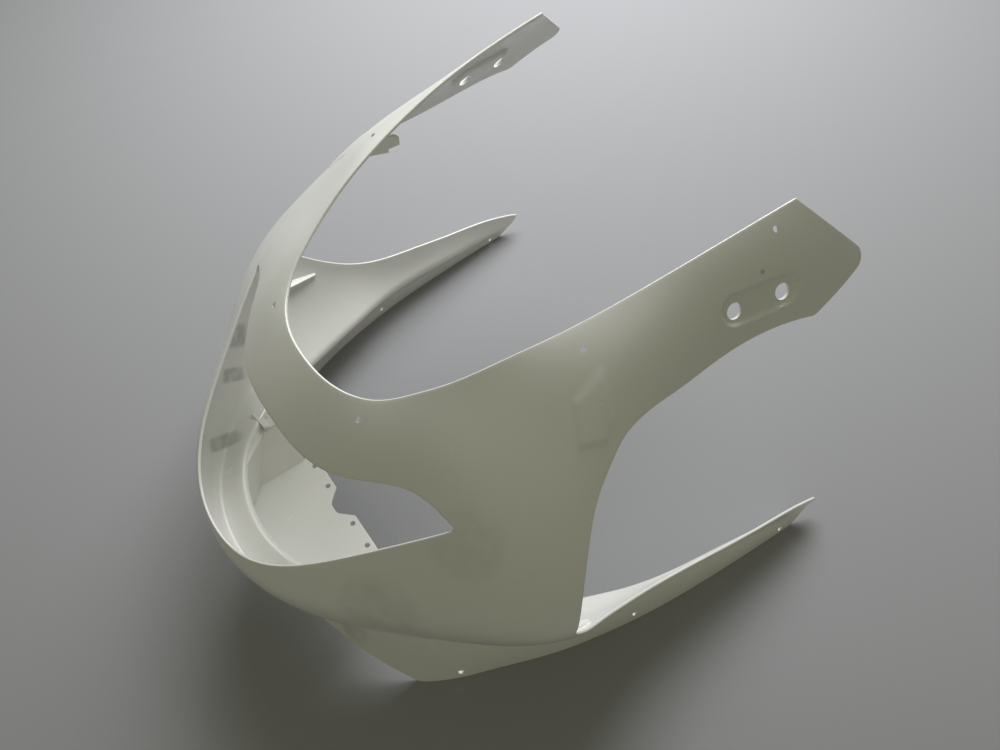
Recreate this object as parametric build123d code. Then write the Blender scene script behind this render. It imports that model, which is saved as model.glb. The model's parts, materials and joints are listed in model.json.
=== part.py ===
from build123d import *
import math
import os

# Overall size of the moulding, in millimetres
SHELL_WIDTH = 560.0
SHELL_LENGTH = 560.0
SHELL_HEIGHT = 378.0
WALL = 3.0

# Mirror seats on the upper arms
MIRROR_HOLE_D = 14.0
MIRROR_HOLE_PITCH = 46.5
MIRROR_SEAT_WIDTH = 28.0
MIRROR_SEAT_DEPTH = 2.5

# Screw holes along the screen edge, the lower arms and the skirt
SCREEN_HOLE_D = 5.5
ARM_HOLE_D = 5.0
SKIRT_HOLE_D = 6.0

# Floor plate behind the nose
FLOOR_HEIGHT = 70.5
FLOOR_WIDTH = 144.0
FLOOR_HOLE_D = 5.5
FLOOR_INNER_SPACING = 54.0
FLOOR_OUTER_SPACING = 114.0
FLOOR_HOLE_SETBACK = 6.5
FLOOR_NOTCH_WIDTH = 13.0
FLOOR_NOTCH_DEPTH = 14.0
FLOOR_CORNER = 6.0

# Inner brackets and ribs
RIB_THICKNESS = 3.0
FLANK_RIB_HEIGHT = 9.0
NOSE_RIB_HEIGHT = 8.0

# Size the tables below are drawn at, and the station that lies over the middle of the part
DRAWN_WIDTH = 560.7
DRAWN_LENGTH = 560.6
DRAWN_HEIGHT = 377.9
MIDDLE_STATION = -18.3

# Ribs of the outer skin, each from the screen edge down to the hem.
# The nose ribs fan out from an upright line on the mid-plane: angle, then reach and height.
FAN_STATION = -75
NOSE_RIBS = {
    0: [(81.5, 305), (129, 262), (183, 206), (223.5, 132), (214, 111), (186, 115), (195, 77), (206, 42)],
    27: [(86, 304), (134, 260), (187, 201), (219, 130), (208, 106), (181, 115), (196, 62), (208, 22)],
    54.5: [(95, 306.5), (147, 264), (190, 212), (222, 146), (210, 104), (178, 92), (212, 32), (225, -4)],
    73: [(102, 315), (147, 284), (202, 234), (250, 158), (236, 108), (196, 58), (217, 24), (223.5, -4)],
}
# The side ribs are cross sections: station, then half width and height.
SIDE_RIBS = {
    -80: [(111, 322.5), (163, 292), (226, 246), (281, 162), (262, 112), (210, 50), (230, 21), (237, -4)],
    -40: [(127, 335.5), (172, 309), (229, 264), (279, 166), (268, 108), (224, 47), (243, 20), (247, -4)],
    0: [(139, 345.5), (181, 325), (223, 282), (271, 168), (265, 89), (239, 43), (252, 18), (255.5, -4)],
    110: [(159.5, 367.5), (187, 342), (210, 303), (263, 150), (268.5, 58), (258, 29), (265, 13), (268, -4)],
    190: [(166.5, 376), (192, 347), (214.5, 305), (264, 146), (271, 39), (265, 18), (270, 8), (272.5, -4)],
    265: [(172, 381), (190, 347), (216, 306), (264, 142), (273, 28), (269, 13), (272, 5), (274, -4)],
}

# Side view outlines, as station and height
LOWER_ARM_END = [(182, -9), (229, 22)]
LOWER_ARM_TOP = [
    (229, 22), (203, 34), (174, 43), (119, 55), (68, 68), (18, 81.5), (-19, 98), (-47, 118), (-75, 144),
    (-84, 154)]
CROTCH = [(-84, 154), (-88, 160), (-87, 168)]
FLANK_EDGE = [
    (-87, 168), (-77, 195), (-55, 231), (-31, 261), (-7, 281), (8, 291), (32, 298), (69, 299), (109, 302),
    (151, 303.5), (190, 296.5), (208, 293.5)]
UPPER_ARM_END = [(208, 293.5), (235, 301), (256, 309), (262, 318), (258, 328), (240, 352), (216, 378)]
BEYOND_ARMS = [(216, 378), (203, 392), (400, 392), (400, -9), (182, -9)]
SKIRT_FRONT = [(-206, -2), (-330, 114), (-330, -20), (-206, -20)]
BRACKET = [(-8, 318), (28, 306), (28, 310), (41, 309), (42, 318), (38, 322), (25, 326)]
FLOOR_REAR = -176

# Front view outlines of the headlight opening, as half width and height
LIP = [(181, 245), (150, 222), (113, 195.5), (80, 177), (45, 165.5), (0, 162.5)]
BROW = [(181, 245), (166, 253), (135, 264), (91, 258), (40, 259), (0, 262)]
BRACKET_OFFSET = 170

# Hole centres in the side view, as station and height
MIRROR_HOLES = [(134.4, 328.1), (181.2, 324.1)]
SCREEN_HOLES = [(-149, 293.6), (12.3, 341.6), (189.7, 366.9)]
ARM_HOLES = [(0.5, 12.5), (181.4, 7)]
SKIRT_HOLE = (-172, 10)
FLANK_RIB = [(-98, 124), (-66, 113)]
NOSE_RIB = [(132, -208), (112, -201)]


def side(y, z):
    """A point of the side view at the real size."""
    return ((y - MIDDLE_STATION) * SHELL_LENGTH / DRAWN_LENGTH, z * SHELL_HEIGHT / DRAWN_HEIGHT)


def wide(x):
    """A half width at the real size."""
    return x * SHELL_WIDTH / DRAWN_WIDTH


def spot(x, y, z):
    """A point in space at the real size."""
    return Vector(wide(x), *side(y, z))


def side_view(points):
    """A list of side view points at the real size."""
    return [side(y, z) for y, z in points]


def across(line):
    """A front view line drawn over both halves, at the real size."""
    halves = [(-x, z) for x, z in line] + line[-2::-1]
    return [(wide(x), side(0, z)[1]) for x, z in halves]


# Outer skin through the ribs, left and right
half = []
for angle, rib in NOSE_RIBS.items():
    turn = math.radians(angle)
    half.append([spot(r * math.sin(turn), FAN_STATION - r * math.cos(turn), z) for r, z in rib])
for station, rib in SIDE_RIBS.items():
    half.append([spot(x, station, z) for x, z in rib])
whole = [[Vector(-p.X, p.Y, p.Z) for p in rib] for rib in half[:0:-1]] + half
ribs = [Spline(*rib) for rib in whole]
rails = [Spline(*line) for line in zip(*whole)]
skin = Face.make_gordon_surface(ribs, rails)

# Trim the skin to the arms, the skirt front and the headlight opening
arms = make_face([
    Polyline(*side_view(LOWER_ARM_END)),
    Spline(*side_view(LOWER_ARM_TOP)),
    ThreePointArc(*side_view(CROTCH)),
    Spline(*side_view(FLANK_EDGE)),
    Spline(*side_view(UPPER_ARM_END)),
    Polyline(*side_view(BEYOND_ARMS))])
skirt_front = make_face(Polyline(*side_view(SKIRT_FRONT), close=True))
lamp = make_face([Spline(*across(LIP)), Spline(*across(BROW))])
skin = skin - extrude(Plane.YZ * arms, SHELL_WIDTH, both=True)
skin = skin - extrude(Plane.YZ * skirt_front, SHELL_WIDTH, both=True)
skin = skin - Pos(0, side(-100, 0)[0], 0) * extrude(Plane.XZ * lamp, SHELL_LENGTH)
outer = skin.faces()[0]

# Give the skin its wall and cut the hem flat on the ground
under = Pos(0, 0, -SHELL_HEIGHT / 2) * Box(2 * SHELL_WIDTH, 2 * SHELL_LENGTH, SHELL_HEIGHT)
shell = thicken(outer, -WALL) - under


def on_skin(start, way):
    """Where a line from a start point first meets the outer skin, and the skin's direction there."""
    line = Axis(start, way)
    hits = outer.find_intersection_points(line)
    ahead = [hit for hit in hits if (hit[0] - start).dot(line.direction) > 0]
    point, normal = min(ahead, key=lambda hit: (hit[0] - start).length)
    return point, normal if normal.dot(line.direction) > 0 else -normal


def from_side(y, z):
    """The skin at a point of the side view, met from the mid-plane outwards."""
    return on_skin(spot(0, y, z), (1, 0, 0))


def both(shape):
    """A left-hand shape and its mirror image."""
    return [shape, mirror(shape, about=Plane.YZ)]


def drill(place, diameter):
    """A round cutter square to the skin at a place of the side view."""
    point, normal = from_side(*place)
    return Plane(origin=point, z_dir=normal) * Cylinder(diameter / 2, 10 * WALL)


# Mirror seats: flat sunk pads with a backing of wall thickness
(hole_a, normal_a), (hole_b, normal_b) = [from_side(y, z) for y, z in MIRROR_HOLES]
along = (hole_b - hole_a).normalized()
facing = (normal_a + normal_b).normalized()
seat = Plane(origin=(hole_a + hole_b) / 2, x_dir=along, z_dir=facing - along * facing.dot(along))
seat = seat * Pos(0, 0, -MIRROR_SEAT_DEPTH)
backing = extrude(SlotCenterToCenter(MIRROR_HOLE_PITCH, MIRROR_SEAT_WIDTH + 2 * WALL), WALL)
backing = seat * Pos(0, 0, -WALL) * backing
pocket = seat * extrude(SlotCenterToCenter(MIRROR_HOLE_PITCH, MIRROR_SEAT_WIDTH), 10 * WALL)
mirror_hole = Cylinder(MIRROR_HOLE_D / 2, 10 * WALL)

# Floor plate: the front edge runs into the nose wall, the rear edge carries the screw holes
floor_side = FLOOR_WIDTH / 2
floor_back = side(FLOOR_REAR, 0)[0]
nose_edge = []
for share in (-1, -0.5, 0, 0.5, 1):
    start = Vector(share * floor_side, floor_back, FLOOR_HEIGHT - WALL / 2)
    reached = on_skin(start, (0, -1, 0))[0]
    nose_edge.append((reached.X, reached.Y + 0.6 * WALL))
notch_side = FLOOR_NOTCH_WIDTH / 2
rear_half = [
    (floor_side, floor_back - FLOOR_CORNER / 2),
    (floor_side - FLOOR_CORNER, floor_back),
    (notch_side + FLOOR_NOTCH_DEPTH, floor_back),
    (notch_side, floor_back - FLOOR_NOTCH_DEPTH)]
rear_edge = rear_half + [(-x, y) for x, y in rear_half[::-1]]
floor_outline = make_face([Spline(*nose_edge), Polyline(nose_edge[-1], *rear_edge, nose_edge[0])])
floor = Pos(0, 0, FLOOR_HEIGHT - WALL) * extrude(floor_outline, WALL)

# Hanging bracket under each upper arm
bracket_side = wide(BRACKET_OFFSET)
roof = []
for station in (25, -8):
    roof.append(on_skin(Vector(bracket_side, side(station, 0)[0], 0), (0, 0, 1))[0])
bracket_outline = Polyline(*side_view(BRACKET), *[(p.Y, p.Z - 0.6 * WALL) for p in roof], close=True)
bracket = extrude(Plane.YZ * make_face(bracket_outline), RIB_THICKNESS)
bracket = Pos(bracket_side, 0, 0) * bracket

# Short rib inside each flank, just ahead of the gap
rib_start, rib_end = [from_side(y, z)[0] for y, z in FLANK_RIB]
rib_place = Plane(origin=(rib_start + rib_end) / 2, x_dir=rib_end - rib_start, z_dir=(1, 0, 0))
flank_rib = Box((rib_end - rib_start).length, RIB_THICKNESS, FLANK_RIB_HEIGHT)
flank_rib = rib_place * Pos(0, 0, -0.7 * WALL - FLANK_RIB_HEIGHT / 2) * flank_rib

# Short rib across each side of the nose ridge
rib_out, rib_in = [spot(x, y, 150) for x, y in NOSE_RIB]
foot = on_skin(rib_out, (0, 0, -1))[0]
nose_place = Plane(origin=(foot + rib_in + foot - rib_out) / 2, x_dir=rib_in - rib_out, z_dir=(0, 0, 1))
nose_rib = Box((rib_in - rib_out).length, RIB_THICKNESS, NOSE_RIB_HEIGHT)
nose_rib = nose_place * Pos(0, 0, 0.5 * WALL + NOSE_RIB_HEIGHT / 2) * nose_rib

# Join the added pieces, then cut the seats and the holes
added = [floor, *both(backing), *both(bracket), *both(flank_rib), *both(nose_rib)]
cutters = both(pocket)
for end in (-1, 1):
    cutters += both(seat * Pos(end * MIRROR_HOLE_PITCH / 2, 0, 0) * mirror_hole)
    for spacing in (FLOOR_INNER_SPACING, FLOOR_OUTER_SPACING):
        place = Pos(end * spacing / 2, floor_back - FLOOR_HOLE_SETBACK, FLOOR_HEIGHT)
        cutters.append(place * Cylinder(FLOOR_HOLE_D / 2, 4 * WALL))
for place in SCREEN_HOLES:
    cutters += both(drill(place, SCREEN_HOLE_D))
for place in ARM_HOLES:
    cutters += both(drill(place, ARM_HOLE_D))
cutters += both(drill(SKIRT_HOLE, SKIRT_HOLE_D))
fairing = shell + added - cutters

os.makedirs("parts", exist_ok=True)
export_step(fairing, "parts/fairing_shell.step")
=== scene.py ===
# %% [markdown]
# A bare nose fairing for a motorcycle: one thin moulding of ivory ABS, before paint.
# The imported part is loaded first, because every piece made here has to sit in its frame.

# %% Load the imported part
import json
import math
import bmesh
import bpy
import numpy as np
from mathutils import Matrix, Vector
from mathutils.bvhtree import BVHTree


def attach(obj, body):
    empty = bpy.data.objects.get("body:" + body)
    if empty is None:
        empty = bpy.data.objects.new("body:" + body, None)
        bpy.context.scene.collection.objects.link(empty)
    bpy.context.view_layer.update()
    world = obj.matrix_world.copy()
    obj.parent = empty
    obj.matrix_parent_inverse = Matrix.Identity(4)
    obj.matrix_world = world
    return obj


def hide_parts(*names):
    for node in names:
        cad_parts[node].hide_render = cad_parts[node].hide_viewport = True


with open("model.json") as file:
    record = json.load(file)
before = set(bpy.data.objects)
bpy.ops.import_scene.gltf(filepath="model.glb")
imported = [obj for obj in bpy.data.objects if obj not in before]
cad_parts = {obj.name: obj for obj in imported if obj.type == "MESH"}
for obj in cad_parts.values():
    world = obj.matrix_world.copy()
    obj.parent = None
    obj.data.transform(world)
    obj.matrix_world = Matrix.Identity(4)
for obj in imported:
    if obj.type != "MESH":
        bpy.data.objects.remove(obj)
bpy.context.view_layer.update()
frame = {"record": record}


# %% [markdown]
# The solid part has flat facets, which a glossy skin would show in every reflection.
# So the skin is drawn again here from the same ribs, as a fine smooth mesh.
# The ribs stand in the nose like the spokes of a fan, and in the sides like slices of a loaf.
# Each has eight points from the top rim down to the hem: how far out, and how high.
# At the sixth point the ledge turns into the skirt. Two more points close beside it keep that turn tight,
# where a plain curve would round it off.

# %% Sizes and ribs of the skin, in millimetres
MM = 0.001
WALL = 3.0
DRAWN_SIZE = np.array([560.7, 560.6, 377.9])
REAL_SIZE = np.array([560.0, 560.0, 378.0])
MIDDLE_STATION = -18.3
FAN_STATION = -75
NOSE_RIBS = {
    0: [(81.5, 305), (129, 262), (183, 206), (223.5, 132), (214, 111), (186, 115), (195, 77), (206, 42)],
    27: [(86, 304), (134, 260), (187, 201), (219, 130), (208, 106), (181, 115), (196, 62), (208, 22)],
    54.5: [(95, 306.5), (147, 264), (190, 212), (222, 146), (210, 104), (178, 92), (212, 32), (225, -4)],
    73: [(102, 315), (147, 284), (202, 234), (250, 158), (236, 108), (196, 58), (217, 24), (223.5, -4)],
}
SIDE_RIBS = {
    -80: [(111, 322.5), (163, 292), (226, 246), (281, 162), (262, 112), (210, 50), (230, 21), (237, -4)],
    -40: [(127, 335.5), (172, 309), (229, 264), (279, 166), (268, 108), (224, 47), (243, 20), (247, -4)],
    0: [(139, 345.5), (181, 325), (223, 282), (271, 168), (265, 89), (239, 43), (252, 18), (255.5, -4)],
    110: [(159.5, 367.5), (187, 342), (210, 303), (263, 150), (268.5, 58), (258, 29), (265, 13), (268, -4)],
    190: [(166.5, 376), (192, 347), (214.5, 305), (264, 146), (271, 39), (268, 18), (271, 8), (272.5, -4)],
    265: [(172, 381), (190, 347), (216, 306), (264, 142), (273, 28), (272, 13), (273.2, 5), (274, -4)],
}


def real(points):
    """Drawn points at the real size, with the middle of the part over the origin."""
    moved = np.array(points, float) - (0, MIDDLE_STATION, 0)
    return moved * REAL_SIZE / DRAWN_SIZE


CREASE_REACH, CREASE_SHARE = 8.0, 0.4


def creased(rib):
    """A rib with a point close to each side of its sixth one, which keeps the turn there tight."""
    above, turn, below = rib[4:7]
    shares = [min(CREASE_SHARE, CREASE_REACH / np.linalg.norm(p - turn)) for p in (above, below)]
    lead = turn + shares[0] * (above - turn)
    tail = turn + shares[1] * (below - turn)
    return np.array([*rib[:5], lead, turn, tail, *rib[6:]])


fan = [(math.radians(angle), rib) for angle, rib in NOSE_RIBS.items()]
half = [[(r * math.sin(a), FAN_STATION - r * math.cos(a), z) for r, z in rib] for a, rib in fan]
half += [[(x, y, z) for x, z in rib] for y, rib in SIDE_RIBS.items()]
left = np.array([creased(rib) for rib in real(half)])
net = np.concatenate([left[:0:-1] * (-1, 1, 1), left])
print("ribs:", net.shape[0], "points on each:", net.shape[1])

# %% [markdown]
# A cubic spline does what a thin batten does when it is bent past a row of pegs.
# Blender has spline curves, but the next step has to blend whole curves with each other.
# So the spline is written here by hand, as rows of weights.
# One product of the weights and the pegs then gives a whole curve.

# %% A cubic spline as rows of weights
def spline_rows(knots, at):
    """Weights that turn the values at the knots into a cubic spline's values at other places."""
    count, gap = len(knots), np.diff(knots)
    bend, rise = np.zeros((count, count)), np.zeros((count, count))
    for i in range(1, count - 1):
        bend[i, i - 1:i + 2] = gap[i - 1], 2 * (gap[i - 1] + gap[i]), gap[i]
        rise[i, i - 1:i + 2] = 6 / gap[i - 1], -6 / gap[i - 1] - 6 / gap[i], 6 / gap[i]
    bend[0, :3] = -gap[1], gap[0] + gap[1], -gap[0]
    bend[-1, -3:] = -gap[-1], gap[-2] + gap[-1], -gap[-2]
    curl = np.linalg.solve(bend, rise)
    k = np.clip(np.searchsorted(knots, at, side="right") - 1, 0, count - 2)
    size, plain = gap[k], np.eye(count)
    a = (knots[k + 1] - at) / size
    b = 1 - a
    weights = [(a, plain[k]), (b, plain[k + 1])]
    weights += [((a ** 3 - a) * size ** 2 / 6, curl[k]), ((b ** 3 - b) * size ** 2 / 6, curl[k + 1])]
    return sum(w[:, None] * rows for w, rows in weights)


print("weights of four pegs half way:", spline_rows(np.arange(4.0), np.array([1.5]))[0].round(4))

# %% [markdown]
# The skin has to pass through every rib, and through the rails that join them.
# A smooth skin through crossing curves is an old boatbuilder's problem.
# Blend the ribs along the length, blend the rails across it, add the two,
# and take away the plain blend of the crossing points, which would count twice.
# A subdivided cage would be quicker to draw, but it shrinks away from the points that it is given.

# %% Blend the ribs and rails into a grid of points
def chord_places(points):
    """How far along its length each point of a curve lies, from 0 to 1."""
    steps = np.linalg.norm(np.diff(points, axis=0), axis=1)
    return np.concatenate([[0.0], np.cumsum(steps)]) / steps.sum()


def along(points, shared, at):
    """A curve through points, read at places that all its neighbours share."""
    own = chord_places(points)
    return spline_rows(own, np.clip(spline_rows(shared, at) @ own, 0, 1)) @ points


def spread(knots, counts):
    """Places between knots, with a chosen number in each gap."""
    runs = [np.linspace(a, b, n, endpoint=False) for a, b, n in zip(knots, knots[1:], counts)]
    return np.concatenate(runs + [knots[-1:]])


RIM_ROUND, RIB_LENGTH = 1.0, 400
HALF_COUNTS = [24, 24, 16, 14, 12, 26, 36, 52, 22]
DOWN_COUNTS = [16, 28, 24, 12, 10, 5, 5, 8, 8]
rib_places = np.mean([chord_places(rail) for rail in net.swapaxes(0, 1)], axis=0)
rail_places = np.mean([chord_places(rib) for rib in net], axis=0)
u = spread(rib_places, HALF_COUNTS[::-1] + HALF_COUNTS)
v = spread(rail_places, DOWN_COUNTS)
v[0] = RIM_ROUND / RIB_LENGTH
over, down = spline_rows(rib_places, u), spline_rows(rail_places, v)
from_ribs = np.einsum("ai,ibk->abk", over, [along(rib, rail_places, v) for rib in net])
from_rails = np.einsum("bj,jak->abk", down, [along(rail, rib_places, u) for rail in net.swapaxes(0, 1)])
skin = from_ribs + from_rails - np.einsum("ai,ijk,bj->abk", over, net, down)
print("skin grid:", skin.shape[:2], "points")

# %% [markdown]
# Next come the outlines. The sheet is cut away behind the arms, under the chin
# and where the headlight looks out. Each cut is drawn in the side view or the front view,
# as it would be on a drawing, because there a few points are enough for each edge.
# The side view's points are a station along the part and a height. The headlight's are drawn for one half.

# %% Points of the cuts
LOWER_ARM_TOP = [
    (229, 22), (203, 34), (174, 43), (119, 55), (68, 68), (18, 81.5), (-19, 98), (-47, 118), (-75, 144),
    (-84, 154)]
CROTCH = [(-84, 154), (-86.7, 156.6), (-88, 160), (-88.2, 164), (-87, 168)]
FLANK_EDGE = [
    (-87, 168), (-77, 195), (-55, 231), (-31, 261), (-7, 281), (8, 291), (32, 298), (69, 299), (109, 301),
    (149, 301.5), (183, 297.5), (205, 292)]
UPPER_ARM_END, ARM_END_ROUND = [(205, 292), (271.4, 314.1), (204.7, 392)], 10.0
BEYOND_ARMS = [(204.7, 392), (400, 392), (400, -9), (182, -9)]
SKIRT_FRONT = [(-206, -2), (-330, 114), (-330, -20), (-206, -20)]
LIP = [(181, 245), (150, 222), (113, 195.5), (80, 177), (45, 165.5), (0, 162.5)]
BROW = [(181, 245), (166, 253), (135, 264), (91, 258), (40, 259), (0, 262)]
arm_count, lamp_count = len(LOWER_ARM_TOP + CROTCH + FLANK_EDGE), len(LIP + BROW)
print("points drawn for the arms' edges:", arm_count, "and for half the headlight:", lamp_count)

# %% [markdown]
# The points become closed lines. A smooth curve through them follows the moulded edges,
# and the corner at the end of the upper arm is an arc, which needs only its radius.

# %% Draw the cuts as closed lines
ARM_POINTS, LAMP_POINTS, ARC_POINTS = 60, 120, 9


def unit(vector):
    """A direction of length one."""
    return np.array(vector) / np.linalg.norm(vector)


def side_view(points):
    """Side view points at the real size."""
    return real([(0, y, z) for y, z in points])[:, 1:]


def front_view(points):
    """Front view points at the real size."""
    return real([(x, 0, z) for x, z in points])[:, ::2]


def smooth_line(points, count):
    """A smooth curve through a few drawn points."""
    return spline_rows(chord_places(points), np.linspace(0, 1, count)) @ points


def round_corner(before, corner, after, radius, count):
    """The arc that rounds a corner between two straight lines."""
    before, corner, after = np.array(before), np.array(corner), np.array(after)
    ways = [unit(before - corner), unit(after - corner)]
    half_angle = math.acos(ways[0] @ ways[1]) / 2
    middle = corner + unit(ways[0] + ways[1]) * radius / math.sin(half_angle)
    start, end = [corner + way * radius / math.tan(half_angle) - middle for way in ways]
    return [middle + radius * unit(start + share * (end - start)) for share in np.linspace(0, 1, count)]


arm_line = [smooth_line(side_view(line), ARM_POINTS) for line in (LOWER_ARM_TOP, CROTCH, FLANK_EDGE)]
arm_line.append(round_corner(*side_view(UPPER_ARM_END), ARM_END_ROUND, ARC_POINTS))
behind_arms = np.concatenate(arm_line + [side_view(BEYOND_ARMS)])
lamp_edges = []
for line in (LIP, BROW):
    right_half = [(-x, z) for x, z in line[-2::-1]]
    lamp_edges.append(smooth_line(front_view(line + right_half), LAMP_POINTS))
lamp_outline = np.concatenate([lamp_edges[0], lamp_edges[1][::-1]])
print("outline points:", len(behind_arms), "behind the arms,", len(lamp_outline), "round the headlight")

# %% [markdown]
# What a cut or a pressed shape needs from its outline is one number per point of the skin:
# how far away the outline is, negative inside it. A boolean could cut the mesh as well,
# but this number can also fade a shape softly into the skin, which a boolean can't.

# %% How far a point is from an outline
NO_LENGTH, FAR_AWAY = 1e-12, 1e9


def room(points, outline):
    """Distance from each point to a closed outline, negative inside it."""
    start, run = outline, np.roll(outline, -1, axis=0) - outline
    best, inside = np.full(len(points), FAR_AWAY), np.zeros(len(points), bool)
    for (sx, sy), (rx, ry) in zip(start, run):
        dx, dy = points[:, 0] - sx, points[:, 1] - sy
        share = np.clip((dx * rx + dy * ry) / (rx * rx + ry * ry + NO_LENGTH), 0, 1)
        best = np.minimum(best, np.hypot(dx - share * rx, dy - share * ry))
        if ry != 0:
            inside ^= ((dy < 0) != (dy < ry)) & (dx < dy * rx / ry)
    return np.where(inside, -best, best)


lamp_middle = lamp_outline.mean(axis=0)
print("room in the middle of the headlight:", room(lamp_middle[None], lamp_outline).round(1), "mm")

# %% [markdown]
# On each side the skin has a sunk seat that the mirror bolts to, a flat strip round its two holes.
# A boolean would leave sharp walls, but a moulded seat has soft ones.
# So the grid itself is pressed in, by a weight that fades over a few millimetres at the seat's edge.
# The right half is turned over to the left first, so that one sum does both sides.

# %% Press the mirror seats in
SEAT_WIDTH, SEAT_RAISE, SEAT_SOFT, SEAT_SINK = 24.5, 2.0, 3.0, 1.2
SEAT_NEAR = 80
mounts = {mount["name"]: mount for mount in frame["record"]["mounts"]}


def fade(gap, soft):
    """One well inside an edge, nothing well outside, and a smooth change between."""
    t = np.clip(0.5 - gap / soft, 0, 1)
    return t * t * (3 - 2 * t)


mirror_holes = [mounts[name] for name in ("mirror_front_left", "mirror_rear_left")]
hole_a, hole_b = [np.array(hole["pos_m"]) / MM for hole in mirror_holes]
seat_out = unit(mirror_holes[0]["axis"])
seat_long = unit(hole_b - hole_a)
seat_wide = np.cross(seat_out, seat_long)
seat_middle = (hole_a + hole_b) / 2 + seat_out * WALL / 2
flip = np.where(skin[..., :1] < 0, -1.0, 1.0) * (1, 0, 0) + (0, 1, 1)
own_side = skin * flip
offset = own_side - seat_middle
length_past = np.maximum(np.abs(offset @ seat_long) - np.linalg.norm(hole_b - hole_a) / 2, 0)
seat_gap = np.hypot(length_past, offset @ seat_wide - SEAT_RAISE) - SEAT_WIDTH / 2
height = offset @ seat_out
near_seat = np.linalg.norm(offset, axis=-1) < SEAT_NEAR
press = np.where(near_seat, fade(seat_gap, SEAT_SOFT) * np.minimum(-height - SEAT_SINK, 0), 0)
own_side = own_side + press[..., None] * seat_out
print("mirror seats pressed in by up to", round(float(-press.min()), 2), "mm")

# %% [markdown]
# Ahead of each seat lies a small raised pad with five sides, one millimetre proud of the skin.
# It is too thin to be a piece of its own, so the grid is moved again, outwards this time,
# by the same kind of weight.

# %% Raise the small pads
PAD_OUTLINE = [(16, 333), (-13, 318), (-26, 294), (-5, 294), (5, 304)]
PAD_RISE, PAD_SOFT, PAD_SIDE = 1.0, 4.0, 150
pad_gap = room(own_side.reshape(-1, 3)[:, 1:], side_view(PAD_OUTLINE)).reshape(press.shape)
pad_lift = np.where(own_side[..., 0] > PAD_SIDE, fade(pad_gap, PAD_SOFT) * PAD_RISE, 0)
own_side = own_side + pad_lift[..., None] * seat_out
skin = own_side * flip
print("pads raised by up to", round(float(pad_lift.max()), 2), "mm")

# %% [markdown]
# The cuts are put together by taking the least room that any of them leaves.
# The headlight's line only counts in the front part, because in a front view the rear lies behind it.
# The trimmed edge is held back by the rounding of the rim, because the rim itself is added later.
# Below the hem the sheet is cut level, where the part stands on the ground.

# %% How much room each point of the grid has
LAMP_REAR = -100


def station(drawn):
    """A drawn station along the part, at the real size."""
    return side_view([(drawn, 0)])[0, 0]


places = skin.reshape(-1, 3)
spare = np.minimum(room(places[:, 1:], behind_arms), room(places[:, 1:], side_view(SKIRT_FRONT)))
in_front = places[:, 1] < station(LAMP_REAR)
spare = np.where(in_front, np.minimum(spare, room(places[:, ::2], lamp_outline)), spare)
spare = np.minimum(spare, places[:, 2]) - RIM_ROUND
spare = spare.reshape(skin.shape[:2])
print("points kept:", int((spare > 0).sum()), "of", spare.size)

# %% [markdown]
# Trimming a grid cell by cell: a cell that lies wholly inside stays a square,
# and one that the edge crosses becomes a smaller polygon, with new corners where the room runs out.
# Grid points that lie almost on the edge are moved onto it first, so that no thin slivers are left.

# %% Move the grid points that are close to an edge
NEARLY = 0.3
facing = np.cross(np.gradient(skin, v, axis=1), np.gradient(skin, u, axis=0))
facing = facing / np.linalg.norm(facing, axis=2, keepdims=True)


def edge_moves(spare):
    """Grid points close to the edge, each with its neighbour and the share of the way to it."""
    moves = {}
    for di, dj in ((1, 0), (0, 1)):
        a, b = spare[:spare.shape[0] - di, :spare.shape[1] - dj], spare[di:, dj:]
        for i, j in np.argwhere(a * b < 0):
            one, two = (i, j), (i + di, j + dj)
            share = spare[one] / (spare[one] - spare[two])
            for near, far, part in ((one, two, share), (two, one, 1 - share)):
                if part < NEARLY and part < moves.get(near, (1,))[0]:
                    moves[near] = (part, far)
    return moves


trimmed, out, left_over = skin.copy(), facing.copy(), spare.copy()
moves = edge_moves(spare)
for near, (part, far) in moves.items():
    trimmed[near] = skin[near] + part * (skin[far] - skin[near])
    out[near] = facing[near] + part * (facing[far] - facing[near])
    left_over[near] = 0
print("grid points moved onto the edge:", len(moves))

# %% [markdown]
# With the edge points in place, each cell is walked round once.
# Corners are shared between cells by a key, so the skin comes out as one joined sheet.
# Merging close points afterwards would join them too, but it could also close a narrow gap.

# %% Make the polygons of the outer skin
points, normals, number, outer_faces = [], [], {}, []


def corner(key, place, normal):
    """The number of a corner, made the first time it is asked for."""
    if key not in number:
        number[key] = len(points)
        points.append(place)
        normals.append(normal)
    return number[key]


def polygon(cell):
    """The kept part of one cell, as corner numbers."""
    found = []
    for one, two in zip(cell, cell[1:] + cell[:1]):
        a, b = left_over[one], left_over[two]
        if a >= 0:
            found.append(corner(one, trimmed[one], out[one]))
        if a * b < 0:
            part = a / (a - b)
            place = trimmed[one] + part * (trimmed[two] - trimmed[one])
            found.append(corner(frozenset((one, two)), place, out[one] + part * (out[two] - out[one])))
    return found


along_max = np.maximum(left_over[1:], left_over[:-1])
most_room = np.maximum(along_max[:, 1:], along_max[:, :-1])
for i, j in np.argwhere(most_room > 0):
    face = polygon([(i, j), (i, j + 1), (i + 1, j + 1), (i + 1, j)])
    if len(face) > 2:
        outer_faces.append(face)
points = np.array(points)
normals = np.array(normals)
normals = normals / np.linalg.norm(normals, axis=1, keepdims=True)
print("outer skin:", len(points), "points,", len(outer_faces), "polygons")

# %% [markdown]
# A moulded sheet has a wall and a rounded rim, and the rim is what catches the light.
# A Solidify modifier would give the wall, but a sharp rim. So both are made here.
# The inner skin is the outer one moved in by the wall. Between them, along every open edge,
# runs a small profile: a quarter round, a flat land and another quarter round.
# Its corners are given as shares of the rounding, first outwards and then into the wall.

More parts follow.
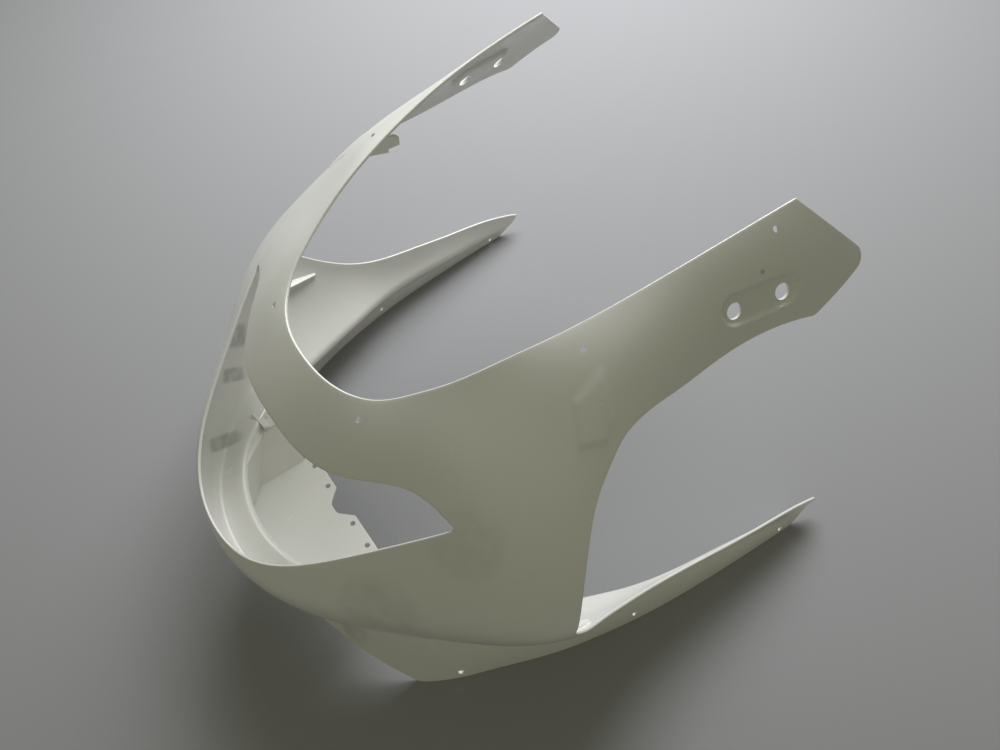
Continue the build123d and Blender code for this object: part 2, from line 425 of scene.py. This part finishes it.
# %% Give the skin its wall and a rounded rim
SLANT_OUT, SLANT_IN = 0.707, 0.293
RIM_DEPTH = WALL / RIM_ROUND
RIM_PROFILE = [(SLANT_OUT, SLANT_IN), (1.0, 1.0), (1.0, RIM_DEPTH - 1.0), (SLANT_OUT, RIM_DEPTH - SLANT_IN)]
walks = {(a, b) for face in outer_faces for a, b in zip(face, face[1:] + face[:1])}
open_edges = [(a, b) for a, b in walks if (b, a) not in walks]
outwards = np.zeros_like(points)
for a, b in open_edges:
    away = unit(np.cross(unit(points[b] - points[a]), normals[a] + normals[b]))
    outwards[a] += away
    outwards[b] += away
rim_points = sorted({a for edge in open_edges for a in edge})
for a in rim_points:
    outwards[a] = unit(outwards[a] - normals[a] * (outwards[a] @ normals[a]))
layers = [np.arange(len(points))]
shell_points = [points]
for reach, depth in RIM_PROFILE:
    first = sum(len(p) for p in shell_points)
    layers.append({a: first + n for n, a in enumerate(rim_points)})
    step = reach * outwards[rim_points] - depth * normals[rim_points]
    shell_points.append(points[rim_points] + RIM_ROUND * step)
inner_start = sum(len(p) for p in shell_points)
shell_points.append(points - WALL * normals)
layers.append(inner_start + np.arange(len(points)))
shell_faces = list(outer_faces) + [[inner_start + a for a in face[::-1]] for face in outer_faces]
for upper, lower in zip(layers, layers[1:]):
    shell_faces += [[int(upper[b]), int(upper[a]), int(lower[a]), int(lower[b])] for a, b in open_edges]
shell_points = np.concatenate(shell_points)
shell_points[:, 2] = np.maximum(shell_points[:, 2], 0)
print("shell:", len(shell_points), "points,", len(shell_faces), "faces, rim edges:", len(open_edges))

# %% [markdown]
# The points and faces now become a Blender mesh. A closed skin has exactly two faces at every edge,
# and counting the edges that break this rule is the quickest test of the work so far.

# %% Make the shell a mesh
def linked(name, data):
    """An object that shows a mesh, a lamp or a camera, put into the scene."""
    made = bpy.data.objects.new(name, data)
    bpy.context.collection.objects.link(made)
    return made


def mesh_object(name, places, faces):
    """A mesh object at the origin, from points in millimetres."""
    mesh = bpy.data.meshes.new(name)
    mesh.from_pydata([tuple(p) for p in np.array(places) * MM], [], [tuple(map(int, f)) for f in faces])
    mesh.update()
    return linked(name, mesh)


shell = mesh_object("shell", shell_points, shell_faces)
check = bmesh.new()
check.from_mesh(shell.data)
rough = [edge for edge in check.edges if not edge.is_manifold]
volume = check.calc_volume() / (10 * MM) ** 3
print("open or crowded edges:", len(rough), "volume, cubic centimetres:", round(volume, 1))
check.free()

# %% [markdown]
# A finish is a tree of nodes, and most of its lines would only make a node and join it to another.
# One helper does that, so that the trees below stay short enough to read.
# A colour is written as a hex value, as a paint program shows it, and turned to the linear light
# that the renderer counts in.

# %% Helpers for colours and nodes
def linear(colour):
    """A hex colour as linear red, green, blue and full alpha."""
    channels = [int(colour[i:i + 2], 16) / 255 for i in (1, 3, 5)]
    return tuple(c / 12.92 if c < 0.04045 else ((c + 0.055) / 1.055) ** 2.4 for c in channels) + (1.0,)


def add(tree, kind, links=None, values=None, **settings):
    """Adds a node, sets it up, and links its inputs from other nodes' outputs."""
    node = tree.nodes.new(kind)
    for name, value in settings.items():
        setattr(node, name, value)
    for name, value in (values or {}).items():
        node.inputs[name].default_value = value
    for name, source in (links or {}).items():
        tree.links.new(source, node.inputs[name])
    return node


print("middle grey in linear light:", round(linear("#808080")[0], 3))

# %% [markdown]
# The finish: ABS moulded in a polished tool, ivory white and left bare.
# The eye gets a soft gloss, a very slight waviness, and a tint that isn't quite even.
# Three noises of different sizes give these, read at the object's own coordinates,
# so they need no unwrapping and stay on the part when it moves.

# %% Moulded ivory ABS
IVORY_SHADES, IVORY_SOCKETS = ("#DFDFD9", "#E6E6E2"), (6, 7)
TINT_SIZE, WIPE_SIZE, PEEL_SIZE = 90 * MM, 25 * MM, 7 * MM
ROUGHNESS = {"To Min": 0.16, "To Max": 0.32}
PEEL = {"Strength": 0.25, "Distance": 0.05 * MM}
ABS_IOR = 1.53


def noise(size, detail):
    """A cloudy value in the ivory's tree, with lumps of a chosen size in metres."""
    values = {"Scale": 1 / size, "Detail": detail}
    return add(tree, "ShaderNodeTexNoise", {"Vector": where}, values).outputs["Fac"]


abs_ivory = bpy.data.materials.new("moulded_ivory_abs")
abs_ivory.use_nodes = True
tree = abs_ivory.node_tree
shader = tree.nodes["Principled BSDF"]
shader.inputs["IOR"].default_value = ABS_IOR
coordinates = add(tree, "ShaderNodeTexCoord").outputs
where = coordinates["Object"]
ivory = add(tree, "ShaderNodeMix", {0: noise(TINT_SIZE, 3.0)}, data_type="RGBA")
for socket, shade in zip(IVORY_SOCKETS, IVORY_SHADES):
    ivory.inputs[socket].default_value = linear(shade)
dull = add(tree, "ShaderNodeMapRange", {"Value": noise(WIPE_SIZE, 5.0)}, ROUGHNESS)
tree.links.new(dull.outputs["Result"], shader.inputs["Roughness"])
relief = add(tree, "ShaderNodeBump", {"Height": noise(PEEL_SIZE, 2.0)}, PEEL)
tree.links.new(relief.outputs["Normal"], shader.inputs["Normal"])
print("finish:", abs_ivory.name, "with", len(tree.nodes), "nodes")

# %% [markdown]
# The part has been handled, and fainter smears of dirt lie on the near side and on the far arm.
# The grey-green bands across the channel inside the far lip are painted dark reflections of the
# surroundings.
# A smear is a place, a reach and a strength, and fades with the distance from the place.
# A band is also narrow along one direction. Painting an image would do the same,
# but a few numbers are easier to move about.

# %% Strength of the handling marks and the painted reflections
# The three bands are painted dark reflections in the glossy channel, not dirt; the smears are dirt.
PAINTED_REFLECTION_BANDS = [
    ((-115, -251, 112), 26, 0.45, (0.82, -0.1, -0.56), 9),
    ((-174, -207, 129), 26, 0.45, (0.8, -0.19, -0.58), 9),
    ((-200, -181, 152), 30, 0.5, (0.82, -0.1, -0.56), 14)]
SMEARS = [
    ((193, -131, 237), 40, 0.1),
    ((167, -210, 166), 45, 0.13),
    ((120, -237, 50), 18, 0.2),
    ((-177, 202, 362), 22, 0.3),
    ((190, 166, 346), 2.5, 0.6)]
FADE_START = 0.55


def falls(far, reach, top):
    """A strength that falls from a top value near a place to nothing at its reach in millimetres."""
    values = {"From Min": reach * MM, "From Max": FADE_START * reach * MM, "To Max": top}
    fall = add(tree, "ShaderNodeMapRange", {"Value": far}, values, interpolation_type="SMOOTHSTEP")
    return fall.outputs["Result"]


def figure(operation, *sources):
    """What a math node makes of one or two values."""
    return add(tree, "ShaderNodeMath", dict(enumerate(sources)), operation=operation).outputs[0]


def reach_along(vector, direction):
    """How far a vector reaches along a direction."""
    dot = add(tree, "ShaderNodeVectorMath", {0: vector}, {1: direction}, operation="DOT_PRODUCT")
    return dot.outputs["Value"]


strengths = []
for place, reach, strength, *band in PAINTED_REFLECTION_BANDS + SMEARS:
    spot = tuple(real([place])[0] * MM)
    away = add(tree, "ShaderNodeVectorMath", {0: where}, {1: spot}, operation="SUBTRACT").outputs["Vector"]
    far = add(tree, "ShaderNodeVectorMath", {0: away}, operation="LENGTH").outputs["Value"]
    level = falls(far, reach, strength)
    if band:
        narrow_way, narrow = band
        aside = figure("ABSOLUTE", reach_along(away, narrow_way))
        level = figure("MULTIPLY", level, falls(aside, narrow, 1.0))
    strengths.append(level)
dirt_and_reflection = strengths[0]
for level in strengths[1:]:
    dirt_and_reflection = figure("MAXIMUM", dirt_and_reflection, level)
print("marks:", len(PAINTED_REFLECTION_BANDS), "bands and", len(SMEARS), "smears")

# %% [markdown]
# Even marks would read as paint, so a rough noise breaks them up: the smears as dirt that was rubbed on,
# and the painted reflections alike.
# The wall is thin, and a mark would also show on its other face.
# So only faces turned to one side are marked.
# The dirt and the painted reflections then mix a grey-green shade into the ivory, and the gloss stays as it
# is.

# %% Lay the dirt and the painted reflections on the ivory
# One grey-green shade paints both the dirt smears and the dark reflections in the channel.
DIRT_AND_REFLECTION_SHADE, MARK_NOISE_SIZE = "#6B6C5C", 14 * MM
MARK_BREAKS = {"From Min": 0.3, "From Max": 0.6, "To Min": 0.4}
MARKED_SIDE, SIDE_EDGE = (0.52, -0.28, 0.81), {"From Min": -0.12, "From Max": 0.05}
broken = add(tree, "ShaderNodeMapRange", {"Value": noise(MARK_NOISE_SIZE, 4.0)}, MARK_BREAKS)
turned = reach_along(coordinates["Normal"], MARKED_SIDE)
on_side = add(tree, "ShaderNodeMapRange", {"Value": turned}, SIDE_EDGE)
patchy_marks = figure("MULTIPLY", dirt_and_reflection, broken.outputs["Result"])
amount = figure("MULTIPLY", patchy_marks, on_side.outputs["Result"])
skin_colour = add(tree, "ShaderNodeMix", {0: amount, 6: ivory.outputs[2]}, data_type="RGBA")
skin_colour.inputs[7].default_value = linear(DIRT_AND_REFLECTION_SHADE)
tree.links.new(skin_colour.outputs[2], shader.inputs["Base Color"])
print("finish with marks:", len(tree.nodes), "nodes")

# %% [markdown]
# The holes repeat all over the part, so Geometry Nodes make their cutters.
# Each hole is one point that carries the direction and the size of its drill,
# and the tree of the next cell sets the same round bar on every point.
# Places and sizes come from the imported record, so the holes can't drift from those of the solid.

# %% Points that carry the drills
def hole_list():
    """Place, direction and radius of every hole, in metres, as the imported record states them."""
    found = []
    for mount in mounts.values():
        place, axis, dims = np.array(mount["pos_m"]), mount.get("axis"), mount["dims"]
        if mount["kind"] == "bore":
            found.append((place, axis, dims["r_mm"] * MM))
        elif mount["kind"] == "bolt_pattern":
            reach = np.array((dims["spacing_x_mm"] / 2 * MM, 0, 0))
            found += [(place + side * reach, axis, dims["hole_r_mm"] * MM) for side in (-1, 1)]
    return found


holes = hole_list()
hole_places, hole_ways, hole_radii = zip(*holes)
drills = mesh_object("drills", [place / MM for place in hole_places], [])
drills.data.attributes.new("way", "FLOAT_VECTOR", "POINT").data.foreach_set("vector", np.ravel(hole_ways))
drills.data.attributes.new("radius", "FLOAT", "POINT").data.foreach_set("value", hole_radii)
print("holes:", len(holes))

# %% [markdown]
# The tree itself is small: a cylinder of unit size is set on every point, turned to the point's direction,
# stretched to the drill's radius and length, made real and given the material.

# %% The tree that sets a round bar on every point
bars = bpy.data.node_groups.new("drill_bars", "GeometryNodeTree")
sockets = bars.interface
for name, kind in (("Geometry", "NodeSocketGeometry"), ("Sides", "NodeSocketInt"),
                   ("Length", "NodeSocketFloat"), ("Material", "NodeSocketMaterial")):
    sockets.new_socket(name, in_out="INPUT", socket_type=kind)
sockets.new_socket("Geometry", in_out="OUTPUT", socket_type="NodeSocketGeometry")
given = add(bars, "NodeGroupInput").outputs
way = add(bars, "GeometryNodeInputNamedAttribute", values={"Name": "way"}, data_type="FLOAT_VECTOR")
radius = add(bars, "GeometryNodeInputNamedAttribute", values={"Name": "radius"}, data_type="FLOAT")
bar = add(bars, "GeometryNodeMeshCylinder", {"Vertices": given["Sides"]}, {"Radius": 1.0, "Depth": 1.0})
turn = add(bars, "FunctionNodeAlignRotationToVector", {"Vector": way.outputs["Attribute"]}, axis="Z")
width = radius.outputs["Attribute"]
size = add(bars, "ShaderNodeCombineXYZ", {"X": width, "Y": width, "Z": given["Length"]})
links = {"Points": given["Geometry"], "Instance": bar.outputs["Mesh"],
         "Rotation": turn.outputs["Rotation"], "Scale": size.outputs["Vector"]}
placed = add(bars, "GeometryNodeInstanceOnPoints", links)
plain = add(bars, "GeometryNodeRealizeInstances", {"Geometry": placed.outputs["Instances"]})
links = {"Geometry": plain.outputs["Geometry"], "Material": given["Material"]}
coated = add(bars, "GeometryNodeSetMaterial", links)
add(bars, "NodeGroupOutput", {"Geometry": coated.outputs["Geometry"]})
print("drill tree:", len(bars.nodes), "nodes")

# %% [markdown]
# The tree works as a modifier on the points. Its result is read once and kept as a plain mesh,
# because the bars have no other use than to cut and don't change again.

# %% Make the drill bars
def evaluated_mesh(thing):
    """The mesh that a thing's modifiers give, as a plain mesh."""
    bpy.context.view_layer.update()
    graph = bpy.context.evaluated_depsgraph_get()
    return bpy.data.meshes.new_from_object(thing.evaluated_get(graph))


BAR_SIDES, BAR_LENGTH = 40, 24 * MM
modifier = drills.modifiers.new("bars", "NODES")
modifier.node_group = bars
values = {"Sides": BAR_SIDES, "Length": BAR_LENGTH, "Material": abs_ivory}
for item in sockets.items_tree:
    if item.in_out == "INPUT" and item.name in values:
        modifier[item.identifier] = values[item.name]
bar_mesh = evaluated_mesh(drills)
drills.modifiers.clear()
drills.data = bar_mesh
print("drill bars:", len(bar_mesh.polygons), "faces")

# %% [markdown]
# Inside the nose are small moulded pieces: a floor plate, and webs, brackets and ribs round it.
# Each is an outline raised along a line, with softened edges, so two helpers serve them all.
# One looks for the wall along a line, because a plate has to end inside the wall that carries it.
# The other raises the outline and bevels the sharp edges.

# %% Helpers for the small moulded pieces
EDGE_ROUND, EDGE_ANGLE, SET_IN = 0.6, math.radians(30), 0.6 * WALL
look = BVHTree.FromPolygons([tuple(p) for p in points], outer_faces)


def wall_at(start, way):
    """Where a line first meets the outer skin."""
    return np.array(look.ray_cast(Vector(start), Vector(way))[0])


def plate(name, outline, rise):
    """A flat plate with softened edges: an outline, raised along a direction, in millimetres."""
    made = bmesh.new()
    base = [made.verts.new(tuple(p)) for p in np.array(outline) * MM]
    raised = bmesh.ops.extrude_face_region(made, geom=[made.faces.new(base)])["geom"]
    moved = [g for g in raised if isinstance(g, bmesh.types.BMVert)]
    bmesh.ops.translate(made, verts=moved, vec=Vector(np.array(rise) * MM))
    bmesh.ops.recalc_face_normals(made, faces=made.faces)
    sharp = [edge for edge in made.edges if edge.calc_face_angle() > EDGE_ANGLE]
    bmesh.ops.bevel(made, geom=sharp, offset=EDGE_ROUND * MM, segments=2, affect="EDGES", profile=0.5)
    mesh = bpy.data.meshes.new(name)
    made.to_mesh(mesh)
    made.free()
    return linked(name, mesh)


print("plates end", round(SET_IN, 2), "mm inside the outer skin, which has", len(outer_faces), "faces")

# %% [markdown]
# The floor plate lies level across the nose and has four screw holes.
# It follows the nose wall in front, so its front edge is found by looking for the wall along nine lines.
# Its rear edge has a round notch in the middle and softened corners, which are drawn once and turned over.

# %% Floor plate
FLOOR_TOP, FLOOR_HALF, FLOOR_REAR, FRONT_POINTS = 70.5, 72.0, -176, 9
NOTCH_HALF, NOTCH_DEPTH, CORNER = 6.5, 14.0, 6.0
REAR_ROUNDS, REAR_POINTS = [2.5, 2.5, 2.5, 8.0], 6
floor_back = station(FLOOR_REAR)
front = []
for share in np.linspace(-1, 1, FRONT_POINTS):
    met = wall_at((share * FLOOR_HALF, floor_back, FLOOR_TOP - WALL / 2), (0, -1, 0))
    front.append((met[0], met[1] + SET_IN))
rear = [(FLOOR_HALF, floor_back - CORNER / 2), (FLOOR_HALF - CORNER, floor_back),
        (NOTCH_HALF + NOTCH_DEPTH, floor_back), (NOTCH_HALF, floor_back - NOTCH_DEPTH)]
half_turns = [front[-1]] + rear + [(-NOTCH_HALF, floor_back - NOTCH_DEPTH)]
rear_line = []
for before, at, after, arc in zip(half_turns, half_turns[1:], half_turns[2:], REAR_ROUNDS):
    rear_line += [tuple(p) for p in round_corner(before, at, after, arc, REAR_POINTS)]
floor_outline = front + rear_line + [(-x, y) for x, y in rear_line[::-1]]
floor_plate = plate("floor_plate", [(x, y, FLOOR_TOP - WALL) for x, y in floor_outline], (0, 0, WALL))
print("floor plate front edge at", [round(float(y), 1) for x, y in front])

# %% [markdown]
# From each end of the floor plate a cheek slopes up to the nose wall and closes the corner.
# It is the same kind of plate, only tilted, and its front edge is found on the wall in the same way.
# Left and right are mirror images, so a helper makes every such plate twice.

# %% Cheeks beside the floor plate
CHEEK_RISE, CHEEK_SPREAD, CHEEK_REAR, CHEEK_POINTS = 34.0, 35.0, -188, 8
small = [floor_plate]


def both_sides(name, outline, rise):
    """The same plate on the left and, turned over, on the right."""
    for side in (1, -1):
        flip_x = np.array((side, 1, 1))
        small.append(plate(name, np.array(outline) * flip_x, np.array(rise) * flip_x))


cheek_back = station(CHEEK_REAR)
cheek_foot = np.array((FLOOR_HALF - WALL / 2, cheek_back, FLOOR_TOP - WALL / 2))
slope = np.array((CHEEK_SPREAD, 0, CHEEK_RISE))
cheek_line = [cheek_foot, cheek_foot + slope]
for share in np.linspace(1, 0, CHEEK_POINTS):
    cheek_line.append(wall_at(cheek_foot + share * slope, (0, -1, 0)) + (0, SET_IN, 0))
cheek_thick = unit(np.cross(slope, (0, 1, 0))) * WALL
both_sides("cheek", np.array(cheek_line) - cheek_thick / 2, cheek_thick)
print("cheeks rise from", FLOOR_TOP, "to", FLOOR_TOP + CHEEK_RISE, "mm")

# %% [markdown]
# A small shelf widens the ledge as far as the cheek's upper edge, and a gusset closes the corner under it.
# The shelf has to lie flush with the ledge, so its outer edge is read from the skin's own grid:
# from the row of the ledge's sharp turn and the row a few millimetres outside it.
# A line drawn by hand would stand out of the skin somewhere.

# %% Shelves and gussets
SHELF_TURN, TIP_LIFT, EDGE_LIFT = 20.0, 0.8 * WALL, 0.9 * WALL
LEDGE_START, LEDGE_PAST, LEDGE_STEP = 65.0, 8, 4
GUSSET_FEET, GUSSET_WALL = [(69, -242), (51, -258)], 0.8 * WALL
GAPS_TO_TURN = 6
turn_row, outer_row = [sum(DOWN_COUNTS[:gaps]) for gaps in (GAPS_TO_TURN, GAPS_TO_TURN - 1)]
half_skin = skin[len(skin) // 2:]
turn_line = half_skin[:, turn_row]
beside = (turn_line[:, 0] > LEDGE_START) & (turn_line[:, 1] < cheek_back + LEDGE_PAST)
ledge, ledge_out = [half_skin[beside, row][::LEDGE_STEP] for row in (turn_row, outer_row)]
shelf_rear = cheek_foot + slope + (0, 0, WALL / 2)
shelf_turn = shelf_rear - (0, SHELF_TURN, 0)
shelf_tip = ledge[0] + SET_IN * unit(ledge[0] - ledge_out[0]) + (0, 0, TIP_LIFT)
shelf_line = [shelf_rear, shelf_turn, shelf_tip, *(ledge_out + (0, 0, EDGE_LIFT))]
both_sides("shelf", shelf_line, (0, 0, -WALL))
gusset_feet = real([(x, y, FLOOR_TOP - WALL / 2) for x, y in GUSSET_FEET])
gusset_line = [shelf_turn - (0, 0, WALL / 2), *gusset_feet, shelf_tip - (0, 0, WALL / 2)]
gusset_way = unit(np.cross(gusset_line[1] - gusset_line[0], gusset_line[2] - gusset_line[0]))
both_sides("gusset", gusset_line, -np.sign(gusset_way[1]) * gusset_way * GUSSET_WALL)
print("shelf outlines:", len(shelf_line), "points, gusset outlines:", len(gusset_line))

# %% [markdown]
# Small stiffeners are left: a bracket that hangs under each upper arm, a rib inside each flank,
# and a wedge across each ledge. Each is an outline raised along a line, so the same helper makes them all.
# Their feet are found on the wall again, so they stay on it where it curves.

# %% Hanging brackets and stiffening ribs
RIB, RIB_SET_IN = 3.0, 0.7 * WALL
BRACKET = [(-8, 318), (28, 306), (28, 310), (41, 309), (42, 318), (38, 322), (25, 326)]
BRACKET_OFFSET, BRACKET_LOOK = 170, 200
FLANK_RIB, FLANK_RIB_HEIGHTS = [(-98, 124), (-62, 112)], [11.0, 4.0]
NOSE_RIB, NOSE_RIB_SECTION = [(129, -208), (105, -205)], [(-2.0, 1.5), (-2.0, 7.0), (6.0, 1.5)]
NOSE_RIB_LOOK = 150
bracket_x = real([(BRACKET_OFFSET, 0, 0)])[0, 0]
ends = [station(BRACKET[n][0]) for n in (-1, 0)]
roof = [wall_at((bracket_x, y, BRACKET_LOOK), (0, 0, 1)) for y in ends]
bracket_line = [*side_view(BRACKET)] + [(y, z - SET_IN) for x, y, z in roof]
both_sides("bracket", [(bracket_x, y, z) for y, z in bracket_line], (RIB, 0, 0))
inward = np.array((-1, 0, 0))
feet = [wall_at((0, y, z), -inward) + RIB_SET_IN * inward for y, z in side_view(FLANK_RIB)]
tops = [foot + rise * inward for foot, rise in zip(feet, FLANK_RIB_HEIGHTS)]
rib_thick = unit(np.cross(feet[1] - feet[0], inward)) * RIB
both_sides("flank_rib", np.array(feet + tops[::-1]) - rib_thick / 2, rib_thick)
nose_a, nose_b = real([(x, y, NOSE_RIB_LOOK) for x, y in NOSE_RIB])
nose_foot = wall_at(nose_a, (0, 0, -1))
both_sides("nose_rib", [nose_foot + (0, y, z) for y, z in NOSE_RIB_SECTION], nose_b - nose_a)
print("small moulded pieces:", len(small))

# %% [markdown]
# The drills now cut the shell and the floor plate. The exact solver keeps the round edges clean.
# Then all the pieces become one mesh, because the real part came out of its tool in one shot.

# %% Drill the holes and join the pieces
for thing in (shell, floor_plate):
    thing.data.materials.append(abs_ivory)
    cut = thing.modifiers.new("drill", "BOOLEAN")
    cut.object, cut.operation, cut.solver = drills, "DIFFERENCE", "EXACT"
    drilled = evaluated_mesh(thing)
    thing.modifiers.clear()
    thing.data = drilled
bpy.data.objects.remove(drills)
for thing in small:
    if not thing.data.materials:
        thing.data.materials.append(abs_ivory)
with bpy.context.temp_override(active_object=shell, selected_editable_objects=[shell] + small):
    bpy.ops.object.join()
fairing = shell
fairing.name = "nose_fairing"
print("drilled and joined:", len(fairing.data.polygons), "faces")

# %% [markdown]
# Smooth shading blends the light over the grid, and stops at corners sharper than the rim's rounding.
# Weighted normals let the large faces decide the direction of a corner that they share with the narrow rim.

# %% Smooth the shading
SHARP_ANGLE = math.radians(50)
fairing.data.polygons.foreach_set("use_smooth", [True] * len(fairing.data.polygons))
fairing.data.set_sharp_from_angle(angle=SHARP_ANGLE)
weigh = fairing.modifiers.new("weigh", "WEIGHTED_NORMAL")
weigh.keep_sharp = True
smoothed = evaluated_mesh(fairing)
fairing.modifiers.clear()
fairing.data = smoothed
triangles = sum(len(p.vertices) - 2 for p in smoothed.polygons)
print("fairing:", triangles, "triangles")

# %% [markdown]
# The smooth fairing stands for the solid one from here on. It rides on the part's only body.

# %% Hand the fairing to the frame
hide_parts("fairing_shell")
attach(fairing, "root")
print("shown in place of the solid:", fairing.name)

# %% [markdown]
# The part rests on a plain pale floor. It is one square that reaches far out,
# so that its edge stays out of the picture, and it is dull, so that it mirrors nothing.

# %% Floor
FLOOR_REACH = 30 / MM
FLOOR_SHADE, FLOOR_ROUGHNESS = "#949497", 0.9
corners = [(x * FLOOR_REACH, y * FLOOR_REACH, 0) for x, y in ((-1, -1), (1, -1), (1, 1), (-1, 1))]
ground = mesh_object("floor", corners, [(0, 1, 2, 3)])
paper = bpy.data.materials.new("pale_floor")
paper.use_nodes = True
paper_shader = paper.node_tree.nodes["Principled BSDF"]
paper_shader.inputs["Base Color"].default_value = linear(FLOOR_SHADE)
paper_shader.inputs["Roughness"].default_value = FLOOR_ROUGHNESS
ground.data.materials.append(paper)
print("floor:", ground.name, "of", round(2 * FLOOR_REACH * MM), "metres")

# %% [markdown]
# A large soft lamp stands beyond the part and high up, so the faces turned to the camera
# lie in soft shade and the rims glow. A weak warm one fills in from the camera's side,
# as a room's walls do, and the pale sky lightens the shadows.
# Places and widths are in metres, powers in watts.

# %% Lamps and sky
def lamp(name, place, target, power, width, tone):
    """A soft square lamp that looks at a point."""
    light = bpy.data.lights.new(name, "AREA")
    light.energy, light.size, light.color = power, width, linear(tone)[:3]
    held = linked(name, light)
    held.location = place
    held.rotation_euler = (Vector(target) - Vector(place)).to_track_quat("-Z", "Y").to_euler()


SKY_SHADE, SKY_STRENGTH = "#FDFDE1", 0.2
lamp("window", place=(-0.9, 0.84, 1.15), target=(-0.52, 0.34, 0), power=36, width=1.2, tone="#FCFDFF")
lamp("room", place=(1.3, -0.7, 1.7), target=(0, 0, 0.2), power=2.5, width=1.6, tone="#FCFCDD")
sky = bpy.data.worlds.new("soft_sky")
sky.use_nodes = True
sky.node_tree.nodes["Background"].inputs["Color"].default_value = linear(SKY_SHADE)
sky.node_tree.nodes["Background"].inputs["Strength"].default_value = SKY_STRENGTH
bpy.context.scene.world = sky

# %% [markdown]
# The camera stands where the photograph was taken: high in front, over the part's left side.
# Its place and lens were worked out from points that the photograph shows on both arms.

# %% Camera
CAMERA_PLACE = (0.4894, -0.2174, 0.8849)
CAMERA_TURN = (35.68, 4.86, 55.32)
LENS, SENSOR = 32.4, 36.0
camera = bpy.data.cameras.new("camera")
camera.lens, camera.sensor_width = LENS, SENSOR
viewer = linked("camera", camera)
viewer.location = CAMERA_PLACE
viewer.rotation_euler = [math.radians(a) for a in CAMERA_TURN]
bpy.context.scene.camera = viewer
bpy.context.scene.view_settings.view_transform = "Standard"
print("camera at", CAMERA_PLACE)
